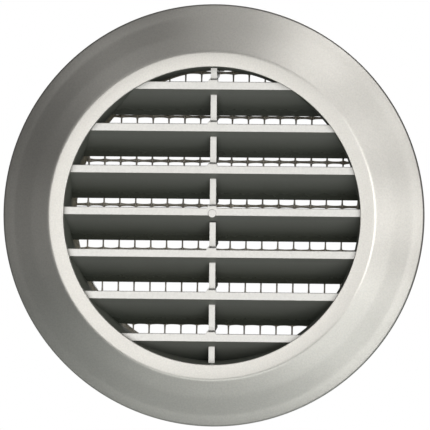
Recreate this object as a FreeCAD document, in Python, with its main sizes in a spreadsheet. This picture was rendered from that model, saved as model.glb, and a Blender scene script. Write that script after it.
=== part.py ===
import FreeCAD, Part
import math
import os
import Sketcher

# Round louvred air grille with a bird mesh, for a 100 mm duct.
# Frame: the duct's axis is +Y, pointing into the duct. +Z is up along the wall and the face looks
# towards -Y. The origin is on the axis, in the plane of the wall that the flange rests on.

document = FreeCAD.newDocument("louvred_grille")
sheet = document.addObject("Spreadsheet::Sheet", "Sizes")

# Driving dimensions, in millimetres and degrees: alias, value, meaning.
DRIVING = [
    ("flange_diameter", 140.0, "outside of the trim flange"),
    ("ridge_diameter", 108.6, "where the cone meets the flat band"),
    ("opening_diameter", 98.5, "inner edge of the flat band"),
    ("bore_diameter", 96.4, "air passage through the collar, behind the wall plane"),
    ("face_height", 8.8, "wall to the ridge"),
    ("band_rise", 0.15, "how far the band's inner edge stands proud of the ridge"),
    ("lip_depth", 2.55, "band's inner edge back to the blades' fronts"),
    ("rim_height", 1.6, "straight edge round the flange"),
    ("rim_land", 2.4, "width of the flange's resting face"),
    ("skin_thickness", 1.8, "flange and band"),
    ("ridge_radius", 2.2, "rounding of the ridge"),
    ("rim_radius", 1.2, "rounding of the rim"),
    ("opening_radius", 0.4, "rounding of the band's inner edge"),
    ("sleeve_diameter", 100.8, "front of the collar, held inside the flange's hub"),
    ("hub_thickness", 1.7, "tube behind the band that holds the collar"),
    ("stiffener_count", 12, "radial webs behind the flange"),
    ("stiffener_thickness", 1.2, "each web"),
    ("stiffener_recess", 0.5, "webs stay behind the resting face by this"),
    ("stiffener_root", 0.6, "how deep a web grows into the walls it joins"),
    ("spigot_diameter", 99.5, "land that centres the grille in the duct"),
    ("spigot_relief", 0.55, "the rest of the collar is smaller than the land, on radius"),
    ("spigot_length", 25.0, "collar behind the wall plane"),
    ("land_length", 6.0, "centring land behind the wall plane"),
    ("lead_chamfer", 0.3, "chamfer at the collar's rear edge"),
    ("blade_count", 7, "louvre blades"),
    ("blade_pitch", 13.9, "blade to blade, upwards"),
    ("blade_lift", 0.07, "middle blade's lower edge above the axis"),
    ("blade_depth", 13.0, "front to back"),
    ("blade_drop", 9.04, "underside falls by this from front to back"),
    ("blade_front_height", 2.75, "flat front strip"),
    ("blade_rear_height", 1.4, "rear edge"),
    ("blade_front_radius", 0.2, "rounding of the strip's top edge"),
    ("blade_rear_radius", 0.4, "rounding of the rear edges"),
    ("socket_depth", 0.5, "how far blades and rib sit in the collar's wall"),
    ("rib_width", 2.05, "centre rib"),
    ("rib_setback", 2.5, "blade fronts back to the rib's front edge"),
    ("rib_depth", 11.5, "rib at the blades' rear edges"),
    ("rib_web", 3.4, "depth of the rib where it stands on a blade"),
    ("tooth_drop", 0.5, "rear lower corner of a tooth of the rib, below the blade's rear edge"),
    ("tooth_slope", 1.0, "a tooth's lower edge falls by this towards the front"),
    ("halving_depth", 4.5, "blade front back to where the rib's notches end"),
    ("slit_height", 0.5, "gap between the rib's front and the block under it"),
    ("slit_depth", 1.8, "how far that gap goes into the rib"),
    ("foot_width", 3.3, "block in front of the rib on each blade"),
    ("foot_offset", 0.18, "the block stands to the left of the rib's centre by this"),
    ("foot_rise", 0.35, "block above the strip's top edge"),
    ("foot_depth", 1.55, "block, front to back"),
    ("foot_root", 1.5, "block reaches this far down into the strip"),
    ("foot_chamfer", 0.4, "sloping left shoulder of the block"),
    ("gusset_width", 0.7, "small gusset on the rib's left, behind the block"),
    ("gusset_rise", 0.8, "its slope above the block"),
    ("gusset_depth", 1.6, "front to back"),
    ("gusset_root", 1.0, "the gusset reaches this far below the blade's lower front edge"),
    ("gusset_setback", 0.2, "rib's front back to the gusset"),
    ("boss_diameter", 2.7, "round mark at the middle of the face"),
    ("boss_height", 0.65, "its centre above the middle blade's lower edge"),
    ("boss_proud", 0.15, "in front of the strip"),
    ("boss_length", 2.2, "front to back"),
    ("boss_radius", 0.1, "rounding of its front edge"),
    ("boss_room_height", 0.6, "notch in the rib's front under the round mark"),
    ("boss_room_depth", 1.2, "front to back"),
    ("rebate_diameter", 97.2, "seat for the mesh at the collar's rear"),
    ("rebate_depth", 2.6, "rear edge to the mesh's shoulder"),
    ("mesh_diameter", 97.1, "wires are cut to this circle"),
    ("upright_wire", 0.6, "diameter of the upright wires"),
    ("cross_wire", 1.0, "diameter of the cross wires"),
    ("weld_depth", 0.1, "wires sink into each other at the welds"),
    ("upright_pitch", 5.33, "across the mesh"),
    ("cross_pitch", 4.94, "up the mesh"),
    ("upright_offset", -1.5, "upright wire nearest the axis"),
    ("cross_offset", -2.0, "cross wire nearest the axis"),
    ("upright_turn", 0.65, "the upright wires lean by this, in degrees"),
    ("cross_turn", 0.07, "the cross wires lean by this, in degrees"),
    ("shortest_wire", 12.0, "no wire shorter than this is left in the mesh"),
    ("clip_count", 3, "retaining springs round the collar"),
    ("clip_width", 6.0, "spring strip"),
    ("clip_thickness", 0.35, "spring strip"),
    ("clip_angle", 12.0, "leaf stands out by this, in degrees"),
    ("leaf_length", 10.8, "pivot line to the free end"),
    ("leaf_corner", 1.0, "rounded corners of the free end"),
    ("pivot_depth", 17.6, "bend line behind the wall plane"),
    ("pivot_gap", 0.03, "clearance round the bend line"),
    ("base_length", 5.4, "riveted foot of the clip"),
    ("recess_floor", 49.0, "flat under each clip, from the axis"),
    ("recess_width", 7.0, "flat under each clip"),
    ("rivet_depth", 20.4, "rivet axis behind the wall plane"),
    ("rivet_diameter", 1.8, "shank"),
    ("rivet_head_diameter", 3.0, "both heads"),
    ("rivet_head_height", 0.25, "both heads"),
]
for row, (alias, value, meaning) in enumerate(DRIVING, start=1):
    sheet.set(f"A{row}", meaning)
    sheet.set(f"B{row}", str(value))
    sheet.setAlias(f"B{row}", alias)
document.recompute()

# Expressions that several pieces share: radii end in _R, places along the axis in _Y.
FLANGE_R = "Sizes.flange_diameter / 2"
RIDGE_R = "Sizes.ridge_diameter / 2"
OPENING_R = "Sizes.opening_diameter / 2"
BORE_R = "Sizes.bore_diameter / 2"
LAND_R = "Sizes.spigot_diameter / 2"
COLLAR_R = "(Sizes.spigot_diameter / 2 - Sizes.spigot_relief)"
REBATE_R = "Sizes.rebate_diameter / 2"
SLEEVE_R = "Sizes.sleeve_diameter / 2"
SOCKET_R = "(Sizes.bore_diameter / 2 + Sizes.socket_depth)"
FRONT_SOCKET_R = "(Sizes.opening_diameter / 2 + Sizes.socket_depth)"
RIDGE_Y = "-Sizes.face_height"
FRONT_Y = "(-Sizes.face_height - Sizes.band_rise)"
BLADE_Y = "(-Sizes.face_height - Sizes.band_rise + Sizes.lip_depth)"
RIB_Y = f"({BLADE_Y} + Sizes.rib_setback)"
SHOULDER_Y = "(Sizes.spigot_length - Sizes.rebate_depth)"
RIB_REAR_Y = f"({RIB_Y} + Sizes.rib_depth)"
WEB_Y = f"({RIB_Y} + Sizes.rib_web)"
BLADE_TOP_SLOPE = (
    "((Sizes.blade_front_height + Sizes.blade_drop - Sizes.blade_rear_height) / Sizes.blade_depth)"
)
PIVOT_R = "(Sizes.recess_floor + Sizes.pivot_gap + Sizes.clip_thickness / 2)"
BLADE_COUNT = int(sheet.get("blade_count"))
MIDDLE_BLADE = BLADE_COUNT // 2
BLADE_STEPS = [MIDDLE_BLADE - index for index in range(BLADE_COUNT)]
STEP_ABOVE = MIDDLE_BLADE + 1
CLIP_COUNT = int(sheet.get("clip_count"))
CLIP_TURNS = [360.0 / CLIP_COUNT * index for index in range(CLIP_COUNT)]
ALONG_Y = FreeCAD.Rotation(FreeCAD.Vector(1, 0, 0), -90)
ALONG_X = FreeCAD.Rotation(FreeCAD.Vector(0, 1, 0), 90)
BEYOND = 5.0
FAR = 50.0


def size(alias):
    return float(sheet.get(alias))


def bind(feature, **expressions):
    """Bind properties of a feature to the sheet; a double underscore stands for a dot."""
    for name, expression in expressions.items():
        feature.setExpression(name.replace("__", "."), expression)
    return feature


def place(feature, across="0", along="0", up="0"):
    return bind(
        feature,
        Placement__Base__x=across,
        Placement__Base__y=along,
        Placement__Base__z=up,
    )


def block(name, across, along, up, width, depth, height):
    """A box from its lowest corner and its three sides."""
    box = document.addObject("Part::Box", name)
    bind(box, Length=width, Width=depth, Height=height)
    return place(box, across, along, up)


def rod(name, radius, length, turn=None, across="0", along="0", up="0"):
    """A cylinder that starts at a place and runs along +Z, or the way that turn gives."""
    cylinder = document.addObject("Part::Cylinder", name)
    bind(cylinder, Radius=radius, Height=length)
    if turn is not None:
        cylinder.Placement = FreeCAD.Placement(FreeCAD.Vector(), turn)
    return place(cylinder, across, along, up)


def boolean(kind, name, first, second):
    result = document.addObject(f"Part::{kind}", name)
    result.Base = first
    result.Tool = second
    return result


def joined(name, pieces):
    result = document.addObject("Part::MultiFuse", name)
    result.Shapes = pieces
    return result


def group(name, pieces, degrees=0.0):
    """Separate solids kept together, turned about the duct's axis."""
    result = document.addObject("Part::Compound", name)
    result.Links = pieces
    result.Placement.Rotation = FreeCAD.Rotation(FreeCAD.Vector(0, 1, 0), degrees)
    return result


def new_body(name):
    return document.addObject("PartDesign::Body", name)


def origin_feature(body, role):
    return next(item for item in body.Origin.OriginFeatures if item.Role == role)


def outline(body, name, role, corners):
    """A closed sketch of straight edges whose corners are pairs of expressions."""
    sketch = body.newObject("Sketcher::SketchObject", name)
    sketch.AttachmentSupport = [(origin_feature(body, role), "")]
    sketch.MapMode = "FlatFace"
    count = len(corners)
    ring = [2 * math.pi * index / count for index in range(count)]
    start = [FreeCAD.Vector(math.cos(angle), math.sin(angle), 0) for angle in ring]
    for index in range(count):
        sketch.addGeometry(Part.LineSegment(start[index], start[(index + 1) % count]), False)
    for index in range(count):
        following = (index + 1) % count
        sketch.addConstraint(Sketcher.Constraint("Coincident", index, 2, following, 1))
    for index, (across, up) in enumerate(corners):
        for kind, value, expression in (
            ("DistanceX", start[index].x, across),
            ("DistanceY", start[index].y, up),
        ):
            number = sketch.addConstraint(Sketcher.Constraint(kind, -1, 1, index, 1, value))
            sketch.renameConstraint(number, f"{kind}{index}")
            sketch.setExpression(f"Constraints.{kind}{index}", expression)
    return sketch


def turned_solid(body, name, corners):
    """A solid of revolution about the duct's axis; corners are radius and place along the axis."""
    profile = outline(body, f"{name}_profile", "XY_Plane", corners)
    revolution = body.newObject("PartDesign::Revolution", f"{name}_revolution")
    revolution.Profile = profile
    revolution.ReferenceAxis = (profile, ["V_Axis"])
    revolution.Angle = 360
    return revolution


def slab(body, name, role, corners, thickness):
    """A flat solid of the given outline, half its thickness each side of the plane."""
    profile = outline(body, f"{name}_profile", role, corners)
    pad = body.newObject("PartDesign::Pad", f"{name}_pad")
    pad.Profile = profile
    pad.SideType = "Symmetric"
    return bind(pad, Length=thickness)


def fillet(body, name, base, edges, radius):
    rounded = body.newObject("PartDesign::Fillet", name)
    rounded.Base = (base, edges)
    return bind(rounded, Radius=radius)


def circle_edges(feature, radius, along):
    """Names of the circular edges of a radius about the duct's axis, at a place along it."""
    document.recompute()
    return [
        f"Edge{number}"
        for number, edge in enumerate(feature.Shape.Edges, start=1)
        if isinstance(edge.Curve, Part.Circle)
        and abs(edge.Curve.Radius - radius) < 0.01
        and abs(edge.Curve.Center.y - along) < 0.01
    ]


def edges_through(shape, **coordinates):
    """Numbers of the straight edges whose two ends both have the given coordinates."""
    return [
        number
        for number, edge in enumerate(shape.Edges, start=1)
        if len(edge.Vertexes) == 2
        and all(
            abs(getattr(vertex.Point, axis) - value) < 0.01
            for vertex in edge.Vertexes
            for axis, value in coordinates.items()
        )
    ]


def blade_height(step):
    """Lower front edge of a blade, a number of pitches above the middle one."""
    return f"{step} * Sizes.blade_pitch + Sizes.blade_lift"


def make_face_ring():
    """Trim flange, flat band and inner lip in one turned shell, with webs behind it."""
    body = new_body("face_ring")
    hub_r = f"({SLEEVE_R} + Sizes.hub_thickness)"
    skin_y = f"({RIDGE_Y} + Sizes.skin_thickness)"
    land_inner_r = "(Sizes.flange_diameter / 2 - Sizes.rim_land)"
    shell = turned_solid(
        body,
        "shell",
        [
            (FLANGE_R, "0"),
            (FLANGE_R, "-Sizes.rim_height"),
            (RIDGE_R, RIDGE_Y),
            (OPENING_R, FRONT_Y),
            (OPENING_R, BLADE_Y),
            (SLEEVE_R, BLADE_Y),
            (SLEEVE_R, "0"),
            (hub_r, "0"),
            (hub_r, skin_y),
            (RIDGE_R, skin_y),
            (land_inner_r, "0"),
        ],
    )
    front = -size("face_height") - size("band_rise")
    ridge = circle_edges(shell, size("ridge_diameter") / 2, -size("face_height"))
    shell = fillet(body, "ridge_fillet", shell, ridge, "Sizes.ridge_radius")
    rim = circle_edges(shell, size("flange_diameter") / 2, -size("rim_height"))
    shell = fillet(body, "rim_fillet", shell, rim, "Sizes.rim_radius")
    edge = circle_edges(shell, size("opening_diameter") / 2, front)
    shell = fillet(body, "opening_fillet", shell, edge, "Sizes.opening_radius")
    web_rear_y = "-Sizes.stiffener_recess"
    web_front_y = f"({skin_y} - Sizes.stiffener_root)"
    web = slab(
        body,
        "web",
        "XY_Plane",
        [
            (f"{hub_r} - Sizes.stiffener_root", web_front_y),
            (f"{hub_r} - Sizes.stiffener_root", web_rear_y),
            (land_inner_r, web_rear_y),
            (RIDGE_R, web_front_y),
        ],
        "Sizes.stiffener_thickness",
    )
    webs = body.newObject("PartDesign::PolarPattern", "webs")
    webs.Originals = [web]
    webs.Axis = (origin_feature(body, "Y_Axis"), [""])
    webs.Angle = 360
    bind(webs, Occurrences="Sizes.stiffener_count")
    body.Tip = webs
    return body


def make_socket_space():
    """The collar's inside with the depth of the sockets added, which ends the blades and the rib."""
    body = new_body("socket_space")
    turned_solid(
        body,
        "sockets",
        [
            ("0", f"-{FAR}"),
            (FRONT_SOCKET_R, f"-{FAR}"),
            (FRONT_SOCKET_R, BLADE_Y),
            (SOCKET_R, "0"),
            (SOCKET_R, str(FAR)),
            ("0", str(FAR)),
        ],
    )
    return body


def make_blade_blank(step):
    """One slanted louvre blade, cut to the bottoms of its sockets; step counts pitches upwards."""
    body = new_body(f"blade_blank_{MIDDLE_BLADE - step + 1}")
    rear_y = f"({BLADE_Y} + Sizes.blade_depth)"
    bar = slab(
        body,
        "bar",
        "YZ_Plane",
        [
            (BLADE_Y, "0"),
            (BLADE_Y, "Sizes.blade_front_height"),
            (rear_y, "Sizes.blade_rear_height - Sizes.blade_drop"),
            (rear_y, "-Sizes.blade_drop"),
        ],
        f"2 * {FRONT_SOCKET_R}",
    )
    document.recompute()
    front = -size("face_height") - size("band_rise") + size("lip_depth")
    top = edges_through(bar.Shape, y=front, z=size("blade_front_height"))
    names = [f"Edge{number}" for number in top]
    bar = fillet(body, "strip_fillet", bar, names, "Sizes.blade_front_radius")
    document.recompute()
    rear = front + size("blade_depth")
    drop = -size("blade_drop")
    tail = edges_through(bar.Shape, y=rear, z=drop)
    tail += edges_through(bar.Shape, y=rear, z=drop + size("blade_rear_height"))
    names = [f"Edge{number}" for number in tail]
    fillet(body, "tail_fillet", bar, names, "Sizes.blade_rear_radius")
    place(body, up=blade_height(step))
    return boolean("Common", f"trimmed_{body.Name}", body, socket_space)


def make_rib_plate():
    """The centre rib before it is notched: straight in front, with a tooth under each blade behind."""
    body = new_body("rib_plate")
    corners = [
        (RIB_Y, f"-{FRONT_SOCKET_R}"),
        (RIB_Y, FRONT_SOCKET_R),
        (RIB_REAR_Y, FRONT_SOCKET_R),
    ]
    fall = f"{BLADE_TOP_SLOPE} * ({WEB_Y} - {BLADE_Y})"
    for step in [STEP_ABOVE] + BLADE_STEPS[:-1]:
        tooth_z = f"{blade_height(step)} - Sizes.blade_drop - Sizes.tooth_drop"
        below = blade_height(step - 1)
        corners.append((RIB_REAR_Y, tooth_z))
        corners.append((WEB_Y, f"{tooth_z} - Sizes.tooth_slope"))
        corners.append((WEB_Y, f"{below} + Sizes.blade_front_height - {fall}"))
    corners.append((RIB_REAR_Y, f"-{FRONT_SOCKET_R}"))
    slab(body, "rib", "YZ_Plane", corners, "Sizes.rib_width")
    return boolean("Common", "trimmed_rib", body, socket_space)


def make_slit(step):
    """The gap that separates the rib's front from the block on one blade."""
    return block(
        f"slit_{MIDDLE_BLADE - step + 1}",
        "-Sizes.rib_width / 2",
        RIB_Y,
        f"{blade_height(step)} + Sizes.blade_front_height + Sizes.foot_rise",
        "Sizes.rib_width",
        "Sizes.slit_depth",
        "Sizes.slit_height",
    )


def make_boss_room():
    """A notch in the rib's front, under the middle blade, that leaves room below the round mark."""
    underside = f"{blade_height(0)} - Sizes.blade_drop / Sizes.blade_depth * Sizes.rib_setback"
    return block(
        "boss_room",
        "-Sizes.rib_width / 2",
        RIB_Y,
        f"{underside} - Sizes.boss_room_height",
        "Sizes.rib_width",
        "Sizes.boss_room_depth",
        "Sizes.boss_room_height",
    )


def make_foot(step):
    """The small block in front of the rib, flush with one blade's strip and rising above it."""
    number = MIDDLE_BLADE - step + 1
    left = "-Sizes.foot_width / 2 - Sizes.foot_offset"
    raw = block(
        f"foot_block_{number}",
        left,
        BLADE_Y,
        f"{blade_height(step)} + Sizes.blade_front_height - Sizes.foot_root",
        "Sizes.foot_width",
        "Sizes.foot_depth",
        "Sizes.foot_root + Sizes.foot_rise",
    )
    document.recompute()
    lower_edge = size("blade_pitch") * step + size("blade_lift")
    top = lower_edge + size("blade_front_height") + size("foot_rise")
    side = -size("foot_width") / 2 - size("foot_offset")
    foot = document.addObject("Part::Chamfer", f"foot_{number}")
    foot.Base = raw
    cut = size("foot_chamfer")
    foot.Edges = [(edge, cut, cut) for edge in edges_through(raw.Shape, x=side, z=top)]
    return foot


def make_gusset():
    """The small gusset beside the rib on the middle blade, from the blade up to the rib's left side."""
    body = new_body("gusset")
    base = "-Sizes.gusset_root"
    top = "Sizes.blade_front_height + Sizes.foot_rise"
    side = "-Sizes.rib_width / 2"
    slab(
        body,
        "gusset",
        "XZ_Plane",
        [
            (side, base),
            (side, f"{top} + Sizes.gusset_rise"),
            (f"{side} - Sizes.gusset_width", top),
            (f"{side} - Sizes.gusset_width", base),
        ],
        "Sizes.gusset_depth",
    )
    return place(body, along=f"{RIB_Y} + Sizes.gusset_setback + Sizes.gusset_depth / 2")


def make_boss():
    """The round mark in the middle of the face, on the middle blade."""
    raw = rod(
        "boss_rod",
        "Sizes.boss_diameter / 2",
        "Sizes.boss_length",
        ALONG_Y,
        along=f"{BLADE_Y} - Sizes.boss_proud",
        up=f"{blade_height(0)} + Sizes.boss_height",
    )
    front = -size("face_height") - size("band_rise") + size("lip_depth") - size("boss_proud")
    edges = circle_edges(raw, size("boss_diameter") / 2, front)
    boss = document.addObject("Part::Fillet", "boss")
    boss.Base = raw
    radius = size("boss_radius")
    boss.Edges = [(int(name.removeprefix("Edge")), radius, radius) for name in edges]
    return boss


def make_blades(blanks, rib_rear):
    """The finished blades, notched from behind for the rib."""
    gusset = make_gusset()
    blades = []
    for step, blank in zip(BLADE_STEPS, blanks):
        number = MIDDLE_BLADE - step + 1
        notched = boolean("Cut", f"notched_blade_{number}", blank, rib_rear)
        side_gusset = place(group(f"gusset_{number}", [gusset]), up=blade_height(step))
        extras = [make_foot(step), side_gusset]
        if step == 0:
            extras.append(make_boss())
        blades.append(joined(f"louvre_blade_{number}", [notched] + extras))
    return blades


def make_collar(sockets):
    """The round tube that goes into the duct, with sockets, clip flats and rivet holes."""
    body = new_body("collar_blank")
    chamfer = "Sizes.lead_chamfer"
    turned_solid(
        body,
        "collar",
        [
            (OPENING_R, BLADE_Y),
            (SLEEVE_R, BLADE_Y),
            (SLEEVE_R, "0"),
            (LAND_R, "0"),
            (LAND_R, "Sizes.land_length"),
            (COLLAR_R, "Sizes.land_length"),
            (COLLAR_R, f"Sizes.spigot_length - {chamfer}"),
            (f"{COLLAR_R} - {chamfer}", "Sizes.spigot_length"),
            (REBATE_R, "Sizes.spigot_length"),
            (REBATE_R, SHOULDER_Y),
            (BORE_R, SHOULDER_Y),
            (BORE_R, "0"),
        ],
    )
    recess = block(
        "clip_recess",
        "-Sizes.recess_width / 2",
        "Sizes.land_length",
        "Sizes.recess_floor",
        "Sizes.recess_width",
        "Sizes.spigot_length",
        str(BEYOND),
    )
    hole = rod(
        "rivet_hole",
        "Sizes.rivet_diameter / 2",
        str(2 * BEYOND),
        along="Sizes.rivet_depth",
        up=f"Sizes.recess_floor - {BEYOND}",
    )
    cutter = joined("clip_seat", [recess, hole])
    seats = [
        group(f"clip_seat_{index}", [cutter], degrees)
        for index, degrees in enumerate(CLIP_TURNS, start=1)
    ]
    return boolean("Cut", "spigot_collar", body, joined("collar_cuts", sockets + seats))


def make_mesh_wires(label, diameter, pitch, offset, along, turn, upright):
    """One layer of parallel wires, cut to the mesh's circle and set a little askew."""
    reach = size("mesh_diameter") / 2
    wires = []
    steps = int(2 * reach / size(pitch))
    for step in range(-steps, steps + 1):
        place_of_wire = size(offset) + step * size(pitch)
        if abs(place_of_wire) > math.sqrt(reach**2 - (size("shortest_wire") / 2) ** 2):
            continue
        shift = f"Sizes.{offset} + {step} * Sizes.{pitch}"
        start = "-Sizes.mesh_diameter / 2"
        spot = {"across": shift, "up": start} if upright else {"across": start, "up": shift}
        wires.append(
            rod(
                f"{label}_{len(wires) + 1}",
                f"Sizes.{diameter} / 2",
                "Sizes.mesh_diameter",
                None if upright else ALONG_X,
                along=along,
                **spot,
            )
        )
    layer = group(f"{label}_layer", wires, size(turn))
    return boolean("Common", label, layer, mesh_cylinder)


def make_clamp_ring():
    """The ring pressed in behind the mesh."""
    body = new_body("mesh_clamp_ring")
    seat_y = f"({SHOULDER_Y} + Sizes.upright_wire + Sizes.cross_wire - Sizes.weld_depth)"
    turned_solid(
        body,
        "clamp",
        [
            (BORE_R, seat_y),
            (REBATE_R, seat_y),
            (REBATE_R, "Sizes.spigot_length"),
            (BORE_R, "Sizes.spigot_length"),
        ],
    )
    return body


def make_clip_base():
    """The riveted foot of a retaining spring, on its flat at the top of the collar."""
    plate = block(
        "clip_base_plate",
        "-Sizes.clip_width / 2",
        "Sizes.pivot_depth + Sizes.clip_thickness / 2 + Sizes.pivot_gap",
        "Sizes.recess_floor",
        "Sizes.clip_width",
        "Sizes.base_length",
        "Sizes.clip_thickness",
    )
    hole = rod(
        "clip_base_hole",
        "Sizes.rivet_diameter / 2",
        str(2 * BEYOND),
        along="Sizes.rivet_depth",
        up=f"Sizes.recess_floor - {BEYOND}",
    )
    return boolean("Cut", "clip_base", plate, hole)


def make_clip_leaf():
    """The springing leaf, from its round root on the bend line to its free end near the flange."""
    strip = block(
        "leaf_strip",
        "-Sizes.clip_width / 2",
        "-Sizes.leaf_length",
        "-Sizes.clip_thickness / 2",
        "Sizes.clip_width",
        "Sizes.leaf_length",
        "Sizes.clip_thickness",
    )
    root = rod(
        "leaf_root",
        "Sizes.clip_thickness / 2",
        "Sizes.clip_width",
        ALONG_X,
        across="-Sizes.clip_width / 2",
    )
    document.recompute()
    rounded = document.addObject("Part::Fillet", "leaf_rounded")
    rounded.Base = strip
    radius = size("leaf_corner")
    half = size("clip_width") / 2
    free_end = -size("leaf_length")
    corners = edges_through(strip.Shape, x=half, y=free_end)
    corners += edges_through(strip.Shape, x=-half, y=free_end)
    rounded.Edges = [(edge, radius, radius) for edge in corners]
    leaf = joined("leaf", [rounded, root])
    lean = FreeCAD.Rotation(FreeCAD.Vector(1, 0, 0), -size("clip_angle"))
    leaf.Placement = FreeCAD.Placement(FreeCAD.Vector(), lean)
    return place(leaf, along="Sizes.pivot_depth", up=PIVOT_R)


def make_rivet():
    """A flat-headed rivet through the clip's foot and the collar's wall."""
    outer_head_r = "Sizes.recess_floor + Sizes.clip_thickness"
    inner_head_r = f"sqrt(({BORE_R})^2 - (Sizes.rivet_head_diameter / 2)^2)"
    inner_end = f"({inner_head_r} - Sizes.rivet_head_height)"
    shank = rod(
        "rivet_shank",
        "Sizes.rivet_diameter / 2",
        f"{outer_head_r} - {inner_end}",
        along="Sizes.rivet_depth",
        up=inner_end,
    )
    heads = [
        rod(
            f"rivet_{side}_head",
            "Sizes.rivet_head_diameter / 2",
            "Sizes.rivet_head_height",
            along="Sizes.rivet_depth",
            up=foot,
        )
        for side, foot in (("outer", outer_head_r), ("inner", inner_end))
    ]
    return joined("rivet", [shank] + heads)


socket_space = make_socket_space()
mesh_cylinder = rod(
    "mesh_cylinder", "Sizes.mesh_diameter / 2", str(2 * FAR), ALONG_Y, along=f"-{FAR}"
)
halving_box = block(
    "halving_box",
    f"-{FRONT_SOCKET_R}",
    f"{BLADE_Y} - {BEYOND}",
    f"-{FRONT_SOCKET_R}",
    f"2 * {FRONT_SOCKET_R}",
    f"Sizes.halving_depth + {BEYOND}",
    f"2 * {FRONT_SOCKET_R}",
)

face_ring = make_face_ring()
blade_blanks = [make_blade_blank(step) for step in BLADE_STEPS]
rib_plate = make_rib_plate()
blade_fronts = boolean("Common", "blade_fronts", joined("all_blanks", blade_blanks), halving_box)
rib_rear = boolean("Cut", "rib_rear", rib_plate, halving_box)
slits = [make_slit(step) for step in BLADE_STEPS]
rib_cuts = joined("rib_cuts", [blade_fronts, make_boss_room(), *slits])
centre_rib = boolean("Cut", "centre_rib", rib_plate, rib_cuts)
blades = make_blades(blade_blanks, rib_rear)
collar = make_collar(blade_blanks + [rib_plate])

upright_y = f"{SHOULDER_Y} + Sizes.upright_wire / 2"
cross_y = f"{SHOULDER_Y} + Sizes.upright_wire - Sizes.weld_depth + Sizes.cross_wire / 2"
mesh = [
    make_mesh_wires(
        "mesh_upright_wires",
        "upright_wire",
        "upright_pitch",
        "upright_offset",
        upright_y,
        "upright_turn",
        upright=True,
    ),
    make_mesh_wires(
        "mesh_cross_wires",
        "cross_wire",
        "cross_pitch",
        "cross_offset",
        cross_y,
        "cross_turn",
        upright=False,
    ),
]
clamp_ring = make_clamp_ring()

clip_base = make_clip_base()
clip_leaf = make_clip_leaf()
rivet = make_rivet()
clips = []
rivets = []
for number, degrees in enumerate(CLIP_TURNS, start=1):
    clips.append(group(f"clip_base_{number}", [clip_base], degrees))
    clips.append(group(f"clip_leaf_{number}", [clip_leaf], degrees))
    rivets.append(group(f"rivet_{number}", [rivet], degrees))
clip_rivets = group("clip_rivets", rivets)

NODES = [face_ring, collar, centre_rib, *blades, *mesh, clamp_ring, *clips, clip_rivets]
document.recompute()

for feature in document.Objects:
    if "Invalid" in feature.State or "Error" in feature.State:
        raise SystemExit(f"{feature.Name} failed: {feature.State}")
os.makedirs("parts", exist_ok=True)
for node in NODES:
    node.Label = node.Name
    shape = node.Shape
    if shape.isNull() or not shape.isValid() or not shape.Solids:
        raise SystemExit(f"{node.Label} has no valid solid")
    shape.exportStep(f"parts/{node.Label}.step")
    print(f"{node.Label}: {len(shape.Solids)} solid(s), {shape.Volume:.1f} mm3")
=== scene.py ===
import math

import bmesh
import bpy
from mathutils import Matrix, Quaternion, Vector, noise


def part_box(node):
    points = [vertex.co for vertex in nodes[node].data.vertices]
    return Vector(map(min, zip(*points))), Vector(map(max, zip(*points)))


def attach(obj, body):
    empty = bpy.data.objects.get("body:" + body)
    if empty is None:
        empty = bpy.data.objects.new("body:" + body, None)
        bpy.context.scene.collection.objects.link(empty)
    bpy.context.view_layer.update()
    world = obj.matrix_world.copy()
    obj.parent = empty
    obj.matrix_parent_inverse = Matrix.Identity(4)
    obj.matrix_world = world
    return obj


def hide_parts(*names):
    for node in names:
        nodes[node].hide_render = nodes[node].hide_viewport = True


# Round silver air grille with a bird mesh. The duct's axis is +Y and the face looks towards -Y.
# Blender's unit is the metre. The object's own lengths below are in millimetres, and are multiplied by MM
# where they are used. The places and sizes of the camera, the floor and the lights are in metres.

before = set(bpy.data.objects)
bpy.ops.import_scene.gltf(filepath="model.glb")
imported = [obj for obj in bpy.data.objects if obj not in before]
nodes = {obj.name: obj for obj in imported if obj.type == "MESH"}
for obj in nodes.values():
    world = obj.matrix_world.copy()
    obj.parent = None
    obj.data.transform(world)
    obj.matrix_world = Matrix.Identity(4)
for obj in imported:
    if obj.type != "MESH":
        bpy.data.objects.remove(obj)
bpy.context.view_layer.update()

MM = 0.001
BLADES = [f"louvre_blade_{number}" for number in range(1, 8)]
CLIP_NUMBERS = (1, 2, 3)

# Camera: far away with a long lens, a little to the right of the axis and just above it.
CAMERA_AZIMUTH = math.radians(4.7)
CAMERA_ELEVATION = math.radians(0.8)
CAMERA_ROLL = math.radians(0.5)
CAMERA_DISTANCE = 2.4
CAMERA_LENS = 606.0
CAMERA_SENSOR = 36.0
CAMERA_AIM = Vector((0.00043, 0.0, 0.00014))

# Floor: how far the dull disc lies below the axis, and the bright one below the dull one.
FLOOR_DROP = 0.5
FLOOR_GAP = 0.01
FLOOR_RADIUS = 2.0
FLOOR_GLOW = (0.97, 1.0, 0.99, 1.0)
FLOOR_STRENGTH = 0.55
PAPER_DARK = (0.78, 0.83, 0.82)
PAPER_LIGHT = (0.82, 0.87, 0.86)

ROOM_LIGHT = (0.8, 0.8, 0.78, 1.0)
ROOM_STRENGTH = 0.08

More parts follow.
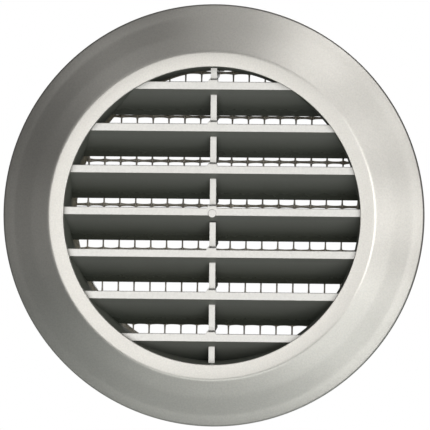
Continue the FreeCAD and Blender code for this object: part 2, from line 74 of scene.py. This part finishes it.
# Softboxes: azimuth and elevation in degrees, then distance, width and height, and power in watts.
# Those on the right and in front shade the cone. The one at the back lights the duct's side.
SOFTBOXES = {
    "key_right": (20, -2, 1.2, 0.35, 0.45, 1.42),
    "key_side": (45, 0, 1.2, 0.7, 0.35, 1.07),
    "key_high": (36, 44, 1.2, 0.6, 0.35, 1.04),
    "key_low": (40, -21, 1.2, 0.45, 0.35, 0.88),
    "key_middle": (44, 22, 1.2, 0.7, 0.35, 0.84),
    "front_high": (14, 22, 1.2, 0.6, 0.35, 0.6),
    "front": (-12, -4, 1.2, 0.35, 0.5, 1.02),
    "front_middle": (4, 2, 1.2, 0.35, 0.4, 0.36),
    "top": (0, 55, 1.2, 0.5, 0.6, 0.36),
    "left_high": (-32, 30, 1.2, 0.5, 0.6, 0.33),
    "left_side": (-44, -4, 1.2, 0.7, 0.5, 0.19),
    "below": (10, -40, 0.7, 0.8, 0.2, 0.45),
    "back": (180, 14, 1.2, 0.5, 0.5, 1.5),
}

# Flange of the face ring. The blades' ends sit in sockets in the wall of the opening, and that gives its
# radius. The cone falls from the ridge in three stretches. The slopes of the first two are in degrees from
# the wall plane, with the radii where they end, and the third one runs to the rim.
SOCKET_DEPTH = 0.5
OPENING_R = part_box("louvre_blade_4")[1].x / MM - SOCKET_DEPTH
RIDGE_R = 54.3
BAND_RISE = 0.15
SLOPES = (24.2, 25.9)
SLOPE_ENDS = (60.3, 66.2)
RIM_HEIGHT = 1.6
RIM_LAND = 2.4
LIP_DEPTH = 2.55
SKIN = 1.8
HUB_WALL = 1.7
RING_SEGMENTS = 256

# How far the flange's corners are rounded, from the opening outwards and then back to the hub.
SHARP = 0.0
EDGE_ROUND = 0.2
RIDGE_ROUND = 3.1
BEND_ROUNDS = (60.0, 30.0)
RIM_ROUND = 0.95
RIM_BACK_ROUND = 0.25
LAND_ROUND = 0.3
SKIN_ROUND = 1.0
HUB_ROUND = 0.8

# Radial webs behind the flange. They run a little way into the hub and the skin.
WEB_COUNT = 12
WEB_THICKNESS = 1.2
WEB_RECESS = 0.5
WEB_OVERLAP = 0.6
WEB_EDGE = 0.15

# Galvanised wire mesh: zinc gathers where the wires cross, and each wire tapers at its cut ends. Every wire
# reads the noise on a lane of its own, so that no two of them wander or swell alike.
WIRE_SIDES = 12
WIRE_STEP = 0.45
WIRE_WANDER = 0.07
WANDER_LENGTH = 9.0
WANDER_LANE = 7.3
LUMP_LENGTH = 1.7
LUMP_HEIGHT = 0.03
LUMP_LANE = 3.1
ZINC_REACH = 0.8
ZINC_UNEVENNESS = 0.5
UPRIGHT_ZINC = 0.22
UPRIGHT_SLIMMING = 0.06
CROSS_ZINC = 0.36
CROSS_SLIMMING = 0.11
END_THICKNESS = 0.82
TAPER_REACH = 0.25

# Colours, and where they change. Painted shade darkens narrow corners within the corner reach. Dust, with
# painted light from behind, starts at the first place of the dust reach along the duct, full at the second.
FACE_SILVER = (0.78, 0.757, 0.705)
LOUVRE_SILVER = (0.82, 0.805, 0.765)
COLLAR_SILVER = (0.60, 0.57, 0.52)
# Dark plastic below the coat. It also stands for painted shade on undersides and walls that face the axis,
# and its green tint for painted cool light from below.
PLASTIC_AND_SHADE = (0.11, 0.122, 0.098)
OVERSPRAY = (0.62, 0.615, 0.59)
# Brown dust, whose paler colours also stand for painted light from behind on the inside walls.
DUST_BACKLIT_DARK = (0.36, 0.325, 0.235)
DUST_BACKLIT_LIGHT = (0.66, 0.60, 0.45)
AGED_ZINC = (0.48, 0.42, 0.33)
CLEAN_ZINC = (0.90, 0.83, 0.70)
ZINC_CRYSTAL = (0.92, 0.88, 0.80)
BLUED_STEEL = (0.50, 0.50, 0.52)
BRIGHT_STEEL = (0.64, 0.64, 0.63)
WORN_STEEL = (0.8, 0.8, 0.8)
DULL_ALUMINIUM = (0.66, 0.66, 0.67)
BRIGHT_ALUMINIUM = (0.80, 0.80, 0.79)
# Painted shade: how far, in millimetres, ambient occlusion darkens the coat in corners.
PAINTED_SHADE_REACH = 2.1
# Dust and painted light from behind: where along the duct they start, and where they are full, in
# millimetres.
DUST_BACKLIGHT_REACH = (4.0, 12.0)


def bearing(azimuth, elevation):
    """Unit vector from the object: azimuth 0 is straight out of the face, positive to the right."""
    return Vector((
        math.sin(azimuth) * math.cos(elevation),
        -math.cos(azimuth) * math.cos(elevation),
        math.sin(elevation),
    ))


# ---------------------------------------------------------------- shapes


def add_piece(name, mesh, material, body="housing", sharp_degrees=35.0):
    """Turn a finished bmesh into a piece of the object, smooth except at real edges."""
    bmesh.ops.recalc_face_normals(mesh, faces=mesh.faces)
    data = bpy.data.meshes.new(name)
    mesh.to_mesh(data)
    mesh.free()
    data.polygons.foreach_set("use_smooth", [True] * len(data.polygons))
    data.set_sharp_from_angle(angle=math.radians(sharp_degrees))
    data.materials.append(material)
    piece = bpy.data.objects.new(name, data)
    bpy.context.scene.collection.objects.link(piece)
    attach(piece, body)
    return piece


def rounded(corners, steps=8):
    """A closed outline of (radius, y) points, from corners of (radius, y, how far it is rounded)."""
    points = []
    for index, (radius, y, rounding) in enumerate(corners):
        if rounding == SHARP:
            points.append((radius, y))
            continue
        here = Vector((radius, y))
        before = (Vector(corners[index - 1][:2]) - here).normalized()
        after = (Vector(corners[(index + 1) % len(corners)][:2]) - here).normalized()
        half = before.angle(after) / 2
        centre = here + (before + after).normalized() * (rounding / math.sin(half))
        start = here + before * (rounding / math.tan(half)) - centre
        end = here + after * (rounding / math.tan(half)) - centre
        for step in range(steps + 1):
            spoke = start.slerp(end, step / steps)
            points.append(tuple(centre + spoke.normalized() * rounding))
    return points


def turned(outline, segments):
    """A closed ring: an outline of (radius, y) points in millimetres, turned round the Y axis."""
    mesh = bmesh.new()
    rings = []
    for index in range(segments):
        angle = 2 * math.pi * index / segments
        across, up = math.sin(angle) * MM, math.cos(angle) * MM
        rings.append([mesh.verts.new((radius * across, y * MM, radius * up)) for radius, y in outline])
    count = len(outline)
    for index, ring in enumerate(rings):
        after = rings[(index + 1) % segments]
        for corner in range(count):
            follower = (corner + 1) % count
            mesh.faces.new((ring[corner], ring[follower], after[follower], after[corner]))
    return mesh


def add_web(mesh, corners, thickness, turn):
    """Add one flat radial plate with softened edges. Corners are (radius, y) in millimetres."""
    half = thickness / 2 * MM
    sides = [
        [mesh.verts.new((side, y * MM, radius * MM)) for radius, y in corners]
        for side in (-half, half)
    ]
    count = len(corners)
    faces = [mesh.faces.new(sides[0]), mesh.faces.new(reversed(sides[1]))]
    for corner in range(count):
        follower = (corner + 1) % count
        faces.append(mesh.faces.new(
            (sides[0][follower], sides[0][corner], sides[1][corner], sides[1][follower])
        ))
    edges = list({edge for face in faces for edge in face.edges})
    bevelled = bmesh.ops.bevel(
        mesh, geom=edges, offset=WEB_EDGE * MM, segments=2, profile=0.5, affect="EDGES"
    )
    verts = {vert for vert in sides[0] + sides[1] if vert.is_valid} | set(bevelled["verts"])
    bmesh.ops.rotate(mesh, verts=list(verts), cent=(0, 0, 0), matrix=Matrix.Rotation(turn, 3, "Y"))


def cone_bends(ridge_y):
    """The two corners where the cone gets steeper, on the way from the ridge to the rim."""
    bends = []
    radius, y = RIDGE_R, ridge_y
    for slope, end, rounding in zip(SLOPES, SLOPE_ENDS, BEND_ROUNDS):
        y += (end - radius) * math.tan(math.radians(slope))
        radius = end
        bends.append((radius, y, rounding))
    return bends


def make_face_ring(material):
    """The flange with its softly bent cone, flat band and lip, and the hub and radial webs behind it."""
    low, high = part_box("face_ring")
    rim_r = high.x / MM
    land_r = rim_r - RIM_LAND
    sleeve_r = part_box("spigot_collar")[1].x / MM
    hub_r = sleeve_r + HUB_WALL
    front_y = low.y / MM
    ridge_y = front_y + BAND_RISE
    lip_y = front_y + LIP_DEPTH
    skin_y = ridge_y + SKIN
    section = [
        (OPENING_R, lip_y, SHARP),
        (OPENING_R, front_y, EDGE_ROUND),
        (RIDGE_R, ridge_y, RIDGE_ROUND),
        *cone_bends(ridge_y),
        (rim_r, -RIM_HEIGHT, RIM_ROUND),
        (rim_r, 0.0, RIM_BACK_ROUND),
        (land_r, 0.0, LAND_ROUND),
        (RIDGE_R, skin_y, SKIN_ROUND),
        (hub_r, skin_y, HUB_ROUND),
        (hub_r, 0.0, EDGE_ROUND),
        (sleeve_r, 0.0, SHARP),
        (sleeve_r, lip_y, SHARP),
    ]
    ring = turned(rounded(section), RING_SEGMENTS)
    web = [
        (hub_r - WEB_OVERLAP, skin_y - WEB_OVERLAP),
        (hub_r - WEB_OVERLAP, -WEB_RECESS),
        (land_r, -WEB_RECESS),
        (RIDGE_R, skin_y - WEB_OVERLAP),
    ]
    for index in range(WEB_COUNT):
        add_web(ring, web, WEB_THICKNESS, 2 * math.pi * index / WEB_COUNT)
    piece = add_piece("face_ring_shell", ring, material)
    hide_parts("face_ring")


def loose_parts(node):
    """The separate solids of a CAD node, each as a list of its points."""
    mesh = bmesh.new()
    mesh.from_mesh(nodes[node].data)
    bmesh.ops.remove_doubles(mesh, verts=mesh.verts, dist=0.001 * MM)
    unseen = set(mesh.verts)
    parts = []
    while unseen:
        stack = [unseen.pop()]
        points = []
        while stack:
            vert = stack.pop()
            points.append(vert.co.copy())
            for edge in vert.link_edges:
                other = edge.other_vert(vert)
                if other in unseen:
                    unseen.remove(other)
                    stack.append(other)
        parts.append(points)
    mesh.free()
    return parts


def wire_axes(node, along, across):
    """Start and end of each wire of a mesh layer. Along and across are 0 for the X axis and 2 for Z.

    An end is the middle of the points that lie within a quarter of the wire's length from it. It is as far
    out as the furthest point of the bar's slanted cut, so a wire that ends square there passes the cut.
    """
    axes = []
    for points in loose_parts(node):
        points.sort(key=lambda point: point[along])
        reach = (points[-1][along] - points[0][along]) / 4
        ends = []
        for end in (points[0], points[-1]):
            near = [point for point in points if abs(point[along] - end[along]) < reach]
            low = min(point[across] for point in near)
            high = max(point[across] for point in near)
            centre = Vector((0.0, 0.0, 0.0))
            centre[across] = (low + high) / 2
            centre[along] = end[along]
            centre.y = (min(point.y for point in near) + max(point.y for point in near)) / 2
            ends.append(centre)
        axes.append(ends)
    return sorted(axes, key=lambda ends: ends[0][across])


def crossing(first, second):
    """How far along the first wire the second one passes it, seen from the front."""
    a, b = first[0].xz, (first[1] - first[0]).xz
    c, d = second[0].xz, (second[1] - second[0]).xz
    share = (c - a).cross(d) / b.cross(d)
    return share * (first[1] - first[0]).length


def wire_wander(distance, number):
    """How far a wire strays sideways at a place along it, smooth and the same in every run."""
    place = Vector((distance / (WANDER_LENGTH * MM), number * WANDER_LANE, 0.5))
    return noise.noise(place) * WIRE_WANDER * MM


def wire_rings(mesh, start, end, number, others, radius, zinc, slimming):
    """Rings of points along one wire, thickened by zinc where it crosses each of the others."""
    length = (end - start).length
    direction = (end - start) / length
    outwards = Vector((0.0, 1.0, 0.0))
    sideways = direction.cross(outwards)
    knots = [crossing((start, end), other) for other in others]
    count = max(8, round(length / (WIRE_STEP * MM)))
    rings = []
    for step in range(count + 1):
        distance = length * step / count
        gap = min(abs(distance - knot) for knot in knots)
        lump = noise.noise(Vector((distance / (LUMP_LENGTH * MM), number * LUMP_LANE, 4.0)))
        gathered = zinc * math.exp(-gap / (ZINC_REACH * MM)) * (1.0 + ZINC_UNEVENNESS * lump)
        thick = (radius - slimming + gathered + LUMP_HEIGHT * lump) * MM
        near_end = min(distance, length - distance) / (TAPER_REACH * MM)
        taper = min(1.0, END_THICKNESS + near_end * (1.0 - END_THICKNESS))
        centre = start + direction * distance + sideways * wire_wander(distance, number)
        ring = []
        for side in range(WIRE_SIDES):
            turn = 2 * math.pi * side / WIRE_SIDES
            spoke = sideways * math.cos(turn) + outwards * math.sin(turn)
            # The front and the back of the wire stay within the round bar.
            depth = min(thick, radius * MM) if abs(math.sin(turn)) > 0.9 else thick
            ring.append(mesh.verts.new(centre + spoke * depth * taper))
        rings.append(ring)
    return rings


def make_wires(name, node, axes, others, radius, zinc, slimming, material):
    """One layer of the mesh, with zinc gathered where each wire crosses the other layer."""
    mesh = bmesh.new()
    for number, (start, end) in enumerate(axes):
        rings = wire_rings(mesh, start, end, number, others, radius, zinc, slimming)
        for ring, after in zip(rings, rings[1:]):
            for side in range(WIRE_SIDES):
                follower = (side + 1) % WIRE_SIDES
                mesh.faces.new((ring[side], ring[follower], after[follower], after[side]))
        mesh.faces.new(reversed(rings[0]))
        mesh.faces.new(rings[-1])
    piece = add_piece(name, mesh, material, sharp_degrees=50.0)
    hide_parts(node)


def make_wire_mesh(material):
    """Both layers of the mesh, on the axes of the round bars that they replace, slimmer between the welds."""
    uprights = wire_axes("mesh_upright_wires", along=2, across=0)
    cross_wires = wire_axes("mesh_cross_wires", along=0, across=2)
    low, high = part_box("mesh_upright_wires")
    upright_r = (high.y - low.y) / 2 / MM
    low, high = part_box("mesh_cross_wires")
    cross_r = (high.y - low.y) / 2 / MM
    make_wires(
        "galvanised_upright_wires", "mesh_upright_wires", uprights, cross_wires,
        upright_r, UPRIGHT_ZINC, UPRIGHT_SLIMMING, material,
    )
    make_wires(
        "galvanised_cross_wires", "mesh_cross_wires", cross_wires, uprights,
        cross_r, CROSS_ZINC, CROSS_SLIMMING, material,
    )


# ---------------------------------------------------------------- materials


class Recipe:
    """A procedural material: a Principled shader and small helpers that add nodes in front of it."""

    def __init__(self, name):
        self.material = bpy.data.materials.new(name)
        self.material.use_nodes = True
        self.tree = self.material.node_tree.nodes
        self.links = self.material.node_tree.links
        self.shader = self.tree["Principled BSDF"]
        self.place = self.tree.new("ShaderNodeTexCoord").outputs["Object"]

    def feed(self, source, target):
        """Link an output to an input, or set the input to a plain value."""
        if hasattr(source, "is_output"):
            self.links.new(source, target)
        else:
            target.default_value = source

    def noise(self, size, detail=2.0, roughness=0.5, stretch=(1.0, 1.0, 1.0)):
        """Soft noise whose blobs are about size millimetres across."""
        mapping = self.tree.new("ShaderNodeMapping")
        mapping.inputs["Scale"].default_value = stretch
        self.links.new(self.place, mapping.inputs["Vector"])
        node = self.tree.new("ShaderNodeTexNoise")
        node.inputs["Scale"].default_value = 1.0 / (size * MM)
        node.inputs["Detail"].default_value = detail
        node.inputs["Roughness"].default_value = roughness
        self.links.new(mapping.outputs["Vector"], node.inputs["Vector"])
        return node.outputs["Fac"]

    def cells(self, size, output="Color"):
        """Flat-coloured cells about size millimetres across."""
        node = self.tree.new("ShaderNodeTexVoronoi")
        node.inputs["Scale"].default_value = 1.0 / (size * MM)
        self.links.new(self.place, node.inputs["Vector"])
        return node.outputs[output]

    def ramp(self, source, low, high, start=0.3, end=0.7):
        """Map a grey source from start..end to low..high, which may be numbers or colours."""
        if isinstance(low, tuple):
            node = self.tree.new("ShaderNodeValToRGB")
            node.color_ramp.elements[0].position = start
            node.color_ramp.elements[0].color = (*low, 1.0)
            node.color_ramp.elements[1].position = end
            node.color_ramp.elements[1].color = (*high, 1.0)
            self.links.new(source, node.inputs["Fac"])
            return node.outputs["Color"]
        node = self.tree.new("ShaderNodeMapRange")
        for label, value in (("From Min", start), ("From Max", end), ("To Min", low), ("To Max", high)):
            node.inputs[label].default_value = value
        self.links.new(source, node.inputs["Value"])
        return node.outputs["Result"]

    def mix(self, amount, first, second, kind="MIX"):
        """Blend two colours by an amount that may be a number or an output."""
        node = self.tree.new("ShaderNodeMixRGB")
        node.blend_type = kind
        self.feed(amount, node.inputs["Fac"])
        for value, label in ((first, "Color1"), (second, "Color2")):
            self.feed((*value, 1.0) if isinstance(value, tuple) else value, node.inputs[label])
        return node.outputs["Color"]

    def maths(self, kind, first, second):
        """One sum on two numbers, each of which may be an output."""
        node = self.tree.new("ShaderNodeMath")
        node.operation = kind
        self.feed(first, node.inputs[0])
        self.feed(second, node.inputs[1])
        return node.outputs["Value"]

    def edges(self, radius):
        """A soft mask that is 1 on sharp edges, and the normals that round them off."""
        bevel = self.tree.new("ShaderNodeBevel")
        bevel.samples = 6
        bevel.inputs["Radius"].default_value = radius * MM
        flat = self.tree.new("ShaderNodeNewGeometry").outputs["Normal"]
        dot = self.tree.new("ShaderNodeVectorMath")
        dot.operation = "DOT_PRODUCT"
        self.links.new(bevel.outputs["Normal"], dot.inputs[0])
        self.links.new(flat, dot.inputs[1])
        return self.ramp(dot.outputs["Value"], 1.0, 0.0, 0.75, 0.98), bevel.outputs["Normal"]

    def part(self, vector, axis):
        """One part of a vector: "X", "Y" or "Z"."""
        node = self.tree.new("ShaderNodeSeparateXYZ")
        self.links.new(vector, node.inputs["Vector"])
        return node.outputs[axis]

    def place_part(self, axis):
        """The place along one axis of the object's frame, in metres."""
        return self.part(self.place, axis)

    def normal_part(self, axis):
        """How much the surface faces along one axis, from -1 to 1."""
        return self.part(self.tree.new("ShaderNodeNewGeometry").outputs["Normal"], axis)

    def inward(self):
        """1 on walls that face the Y axis, -1 on walls that face away from it, 0 on walls across it."""
        flat = self.tree.new("ShaderNodeVectorMath")
        flat.operation = "MULTIPLY"
        flat.inputs[1].default_value = (-1.0, 0.0, -1.0)
        self.links.new(self.place, flat.inputs[0])
        towards = self.tree.new("ShaderNodeVectorMath")
        towards.operation = "NORMALIZE"
        self.links.new(flat.outputs["Vector"], towards.inputs[0])
        dot = self.tree.new("ShaderNodeVectorMath")
        dot.operation = "DOT_PRODUCT"
        self.links.new(towards.outputs["Vector"], dot.inputs[0])
        self.links.new(self.tree.new("ShaderNodeNewGeometry").outputs["Normal"], dot.inputs[1])
        return dot.outputs["Value"]

    def corner(self, reach):
        """1 on open surface, falling towards 0 in corners that walls within reach millimetres shut in."""
        node = self.tree.new("ShaderNodeAmbientOcclusion")
        node.samples = 8
        node.only_local = False
        node.inputs["Distance"].default_value = reach * MM
        return node.outputs["AO"]

    def bump(self, height, strength, depth, normal=None):
        """Bump whose full height is depth millimetres."""
        node = self.tree.new("ShaderNodeBump")
        node.inputs["Strength"].default_value = strength
        node.inputs["Distance"].default_value = depth * MM
        self.links.new(height, node.inputs["Height"])
        if normal is not None:
            self.links.new(normal, node.inputs["Normal"])
        return node.outputs["Normal"]

    def finish(self, color, roughness, metallic, normal=None, **extra):
        """Feed the shader and return the material. Extra names other inputs, with _ for a space."""
        self.feed(color, self.shader.inputs["Base Color"])
        self.feed(roughness, self.shader.inputs["Roughness"])
        self.feed(metallic, self.shader.inputs["Metallic"])
        if normal is not None:
            self.links.new(normal, self.shader.inputs["Normal"])
        for label, value in extra.items():
            self.shader.inputs[label.replace("_", " ")].default_value = value
        return self.material


def lacquer_cover_and_shade(recipe, facing, fade):
    """How well the coat covers, from 0 to 1. Low cover paints shade, as the dark plastic below shows.

    It covers less as a surface turns away from the front, between the two values of facing, which paints
    shade on undersides and side walls. Where fade is given, it also falls along Y, between its two places in
    millimetres, which paints shade on the deeper parts.
    """
    forward = recipe.maths("MULTIPLY", recipe.normal_part("Y"), -1.0)
    # Painted shade: surfaces that face down or back get less coat and so show dark plastic.
    cover_and_shade = recipe.ramp(forward, 0.0, 1.0, *facing)
    if fade is not None:
        # Painted shade: the cover also falls off further back along Y.
        depth = recipe.ramp(recipe.place_part("Y"), 1.0, 0.0, fade[0] * MM, fade[1] * MM)
        cover_and_shade = recipe.maths("MULTIPLY", cover_and_shade, depth)
    patch = recipe.ramp(recipe.noise(1.6, detail=4.0), 0.965, 1.0)
    return recipe.maths("MULTIPLY", cover_and_shade, patch)


def lacquer_coat(recipe, base, grain, corners, edge):
    """The coat's colour: faint clouds, fine flakes, paler worn edges and painted shade in narrow corners.

    Grain is how strongly the flakes vary, and corners how much painted shade darkens the narrowest corners.
    """
    dark = tuple(channel * 0.985 for channel in base)
    light = tuple(min(1.0, channel * 1.01) for channel in base)
    coat = recipe.ramp(recipe.noise(14.0, detail=3.0), dark, light)
    flakes = recipe.ramp(recipe.noise(0.55, detail=3.0), 1.0 - grain, 1.0 + 0.7 * grain)
    coat = recipe.mix(1.0, coat, flakes, "MULTIPLY")
    coat = recipe.mix(0.6 * grain, coat, recipe.cells(0.16), "OVERLAY")
    worn = tuple(min(1.0, channel * 1.12) for channel in base)
    wear = recipe.maths("MULTIPLY", edge, recipe.ramp(recipe.noise(2.6), 0.0, 0.5))
    coat = recipe.mix(wear, coat, worn)
    # Painted shade: the coat darkens in narrow corners that walls shut in, where shade falls.
    if corners:
        shade = recipe.ramp(recipe.corner(PAINTED_SHADE_REACH), 1.0 - corners, 1.0, 0.35, 0.95)
        coat = recipe.mix(1.0, coat, shade, "MULTIPLY")
    return coat


def bare_plastic_shade_and_light(recipe, bore):
    """The colour below the coat, with painted shade and painted light.

    Walls that face the axis are dark, which is painted shade, and turn to brown dust towards the duct, whose
    paler colours are painted light from behind as well as dust. The others are paler, because they caught
    some overspray. Bore is the range of Recipe.inward in which one gives way to the other.
    """
    inside = recipe.ramp(recipe.inward(), 0.0, 1.0, *bore)
    specks = recipe.ramp(recipe.noise(0.9, detail=4.0), DUST_BACKLIT_DARK, DUST_BACKLIT_LIGHT, 0.42, 0.62)
    start, full = DUST_BACKLIGHT_REACH
    # Dust and painted light from behind: the inside walls turn paler brown further along the duct.
    depth = recipe.ramp(recipe.place_part("Y"), 0.0, 1.0, start * MM, full * MM)
    dust_and_backlight = recipe.maths("MULTIPLY", inside, depth)
    return recipe.mix(dust_and_backlight, recipe.mix(inside, OVERSPRAY, PLASTIC_AND_SHADE), specks)


def silver_lacquer(
    name, base, roughness, plastic_roughness, edge_radius, facing, grain, fade=None, corners=0.0, bore=None
):
    """Silver lacquer sprayed from the front on moulded plastic, with fine flakes and faint orange peel.

    Where the coat is thin, the plastic below it shows: painted shade on undersides, deeper parts and walls
    that face the axis, and painted light on the dust towards the duct.
    """
    recipe = Recipe(name)
    edge, rounded_normal = recipe.edges(edge_radius)
    cover_and_shade = lacquer_cover_and_shade(recipe, facing, fade)
    coat = lacquer_coat(recipe, base, grain, corners, edge)
    bare_shade_and_light = PLASTIC_AND_SHADE if bore is None else bare_plastic_shade_and_light(recipe, bore)
    # Painted shade and light: where cover is low, the plastic colour from below shows instead of the silver.
    color = recipe.mix(cover_and_shade, bare_shade_and_light, coat)
    metal = recipe.ramp(cover_and_shade, 0.1, 0.96, 0.0, 1.0)
    rough = recipe.ramp(cover_and_shade, plastic_roughness, roughness, 0.0, 0.4)
    gloss = recipe.maths("ADD", rough, recipe.ramp(recipe.noise(3.0, detail=4.0), -0.006, 0.006))
    peel = recipe.bump(recipe.noise(0.9, detail=2.0), 0.2, 0.008, rounded_normal)
    normal = recipe.bump(recipe.noise(0.2, detail=1.0), 0.2, 0.003, peel)
    return recipe.finish(color, gloss, metal, normal)


def galvanised(name):
    """Hot-dipped zinc: dull crystals, brownish where it has aged, with a slightly lumpy skin."""
    recipe = Recipe(name)
    crystals = recipe.ramp(recipe.cells(1.1, "Distance"), 0.0, 0.35, 0.1, 0.6)
    color = recipe.ramp(recipe.noise(3.2, detail=4.0), AGED_ZINC, CLEAN_ZINC, 0.38, 0.66)
    color = recipe.mix(crystals, color, ZINC_CRYSTAL)
    roughness = recipe.ramp(recipe.noise(1.2, detail=3.0), 0.32, 0.55)
    normal = recipe.bump(recipe.noise(0.7, detail=3.0), 0.5, 0.05)
    return recipe.finish(color, roughness, 0.35, normal)


def spring_steel(name):
    """Bright rolled strip, with fine lines along the spring and slightly blued patches."""
    recipe = Recipe(name)
    edge, rounded_normal = recipe.edges(0.08)
    lines = recipe.noise(0.25, detail=3.0, stretch=(1.0, 0.05, 1.0))
    color = recipe.ramp(recipe.noise(4.0, detail=3.0), BLUED_STEEL, BRIGHT_STEEL)
    color = recipe.mix(edge, color, WORN_STEEL)
    roughness = recipe.ramp(lines, 0.22, 0.38)
    normal = recipe.bump(lines, 0.3, 0.006, rounded_normal)
    return recipe.finish(color, roughness, 1.0, normal)


def rivet_aluminium(name):
    """Soft aluminium with small hammer marks."""
    recipe = Recipe(name)
    marks = recipe.noise(0.6, detail=2.0)
    color = recipe.ramp(marks, DULL_ALUMINIUM, BRIGHT_ALUMINIUM)
    roughness = recipe.ramp(recipe.noise(0.3, detail=2.0), 0.30, 0.48)
    normal = recipe.bump(marks, 0.4, 0.02)
    return recipe.finish(color, roughness, 1.0, normal)


def give(names, material):
    """Put a material on CAD nodes that are shown as they are."""
    for name in names:
        for slot in nodes[name].material_slots:
            slot.material = material


# ---------------------------------------------------------------- studio


def make_camera():
    """A long lens, so that the object is seen with almost no perspective."""
    data = bpy.data.cameras.new("camera")
    data.lens = CAMERA_LENS
    data.sensor_width = CAMERA_SENSOR
    data.clip_start = 0.1
    data.clip_end = 20.0
    camera = bpy.data.objects.new("camera", data)
    bpy.context.scene.collection.objects.link(camera)
    away = bearing(CAMERA_AZIMUTH, CAMERA_ELEVATION)
    camera.location = CAMERA_AIM + away * CAMERA_DISTANCE
    look = (-away).to_track_quat("-Z", "Y")
    camera.rotation_mode = "QUATERNION"
    camera.rotation_quaternion = look @ Quaternion((0.0, 0.0, 1.0), CAMERA_ROLL)
    bpy.context.scene.camera = camera


def softbox(name, azimuth, elevation, distance, width, height, power):
    """A rectangular area light that faces the object."""
    data = bpy.data.lights.new(name, "AREA")
    data.shape = "RECTANGLE"
    data.size = width
    data.size_y = height
    data.energy = power
    light = bpy.data.objects.new(name, data)
    bpy.context.scene.collection.objects.link(light)
    away = bearing(math.radians(azimuth), math.radians(elevation))
    light.location = away * distance
    light.rotation_mode = "QUATERNION"
    light.rotation_quaternion = (-away).to_track_quat("-Z", "Y")
    light.visible_camera = False


def make_world():
    """White to the camera, as a clean studio background, and a dim even grey to everything else."""
    world = bpy.data.worlds.new("studio")
    world.use_nodes = True
    bpy.context.scene.world = world
    tree, links = world.node_tree.nodes, world.node_tree.links
    output = tree["World Output"]
    dim = tree["Background"]
    dim.inputs["Color"].default_value = ROOM_LIGHT
    dim.inputs["Strength"].default_value = ROOM_STRENGTH
    white = tree.new("ShaderNodeBackground")
    white.inputs["Color"].default_value = (1.0, 1.0, 1.0, 1.0)
    path = tree.new("ShaderNodeLightPath")
    mix = tree.new("ShaderNodeMixShader")
    links.new(path.outputs["Is Camera Ray"], mix.inputs["Fac"])
    links.new(dim.outputs["Background"], mix.inputs[1])
    links.new(white.outputs["Background"], mix.inputs[2])
    links.new(mix.outputs["Shader"], output.inputs["Surface"])


def pale_paper(name, **glow):
    """Plain matt paper, which glows by itself where a glow is given."""
    recipe = Recipe(name)
    color = recipe.ramp(recipe.noise(6.0, detail=3.0), PAPER_DARK, PAPER_LIGHT)
    return recipe.finish(color, 0.7, 0.0, **glow)


def make_disc(name, drop, material):
    """A flat round sheet of the floor, drop metres below the axis."""
    mesh = bmesh.new()
    bmesh.ops.create_circle(mesh, cap_ends=True, radius=FLOOR_RADIUS, segments=96)
    data = bpy.data.meshes.new(name)
    mesh.to_mesh(data)
    mesh.free()
    data.materials.append(material)
    disc = bpy.data.objects.new(name, data)
    disc.location = (0.0, 0.0, -drop)
    bpy.context.scene.collection.objects.link(disc)
    return disc


def make_floor():
    """A plain pale floor in two discs: a bright one that only the camera sees, and a dull unseen one.

    The dull disc gives the object the soft light that comes back from a table. The bright one gives none.
    """
    glow = {"Emission_Color": FLOOR_GLOW, "Emission_Strength": FLOOR_STRENGTH}
    bright = make_disc("floor_bright", FLOOR_DROP + FLOOR_GAP, pale_paper("floor_paper", **glow))
    bright.visible_diffuse = False
    bright.visible_glossy = False
    dull = make_disc("floor_dull", FLOOR_DROP, pale_paper("table_paper"))
    dull.visible_camera = False


# ---------------------------------------------------------------- the scene


bpy.context.scene.view_settings.view_transform = "Standard"
make_camera()
make_world()
make_floor()
for light_name, settings in SOFTBOXES.items():
    softbox(light_name, *settings)

# Each lacquer paints shade through its cover: thin coat shows dark plastic on undersides, deeper parts and
# walls that face the axis.
face_silver = silver_lacquer(
    "face_silver_lacquer", FACE_SILVER, roughness=0.33, plastic_roughness=0.6, edge_radius=0.2,
    facing=(-0.2, 0.3), grain=0.065, bore=(0.3, 0.7),
)
# The louvre's corners value sets how much painted shade darkens its narrow corners.
louvre_silver = silver_lacquer(
    "louvre_silver_lacquer", LOUVRE_SILVER, roughness=0.35, plastic_roughness=0.27, edge_radius=0.12,
    facing=(0.43, 0.97), grain=0.045, fade=(-4.0, 4.0), corners=0.45,
)
collar_silver = silver_lacquer(
    "collar_silver_lacquer", COLLAR_SILVER, roughness=0.45, plastic_roughness=0.7, edge_radius=0.15,
    facing=(0.1, 0.8), grain=0.05, bore=(-0.7, -0.3),
)
zinc = galvanised("galvanised_zinc")
steel = spring_steel("rolled_spring_steel")
aluminium = rivet_aluminium("rivet_aluminium")

make_face_ring(face_silver)
make_wire_mesh(zinc)
give(["centre_rib"] + BLADES, louvre_silver)
give(["spigot_collar", "mesh_clamp_ring"], collar_silver)
give([f"clip_{part}_{number}" for part in ("base", "leaf") for number in CLIP_NUMBERS], steel)
give(["clip_rivets"], aluminium)
